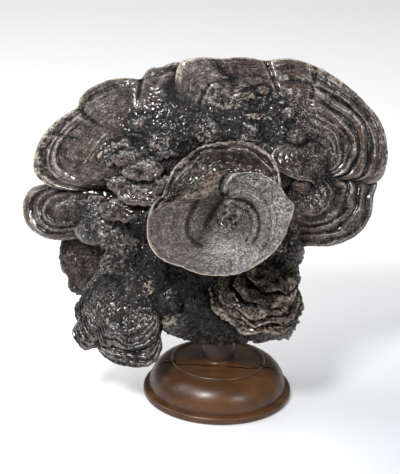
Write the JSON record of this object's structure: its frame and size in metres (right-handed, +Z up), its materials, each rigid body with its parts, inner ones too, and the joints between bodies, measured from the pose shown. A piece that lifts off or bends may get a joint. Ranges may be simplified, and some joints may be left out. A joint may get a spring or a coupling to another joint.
{
  "type": "bracket fungus on a stand",
  "caption": "Dried woody bracket fungus with ridged fans, lobes and a dished front disc grown as one mass, resting on a turned round wooden stand.",
  "frame": {"origin": "centre of the stand's foot, on the surface that it stands on", "axes": "+Z up; the face of the specimen looks towards -Y; +X is to the right of a viewer who faces it"},
  "size_m": [0.3903, 0.1715, 0.3589],
  "materials": {
    "crust": "hard, ridged and knobbly crust, near black to grey-brown, lacquer-like sheen",
    "grey_face": "dusty grey growth zones with fine radial grain, satin",
    "weathered": "flaking old plates with cream edges over dark crevices, dull",
    "pores": "fine pore surface, umber, matte",
    "stand_wood": "turned hardwood, warm mid brown, waxed"
  },
  "bodies": {
    "root": {"fungus": "crust", "stand": "stand_wood"}
  },
  "joints": []
}
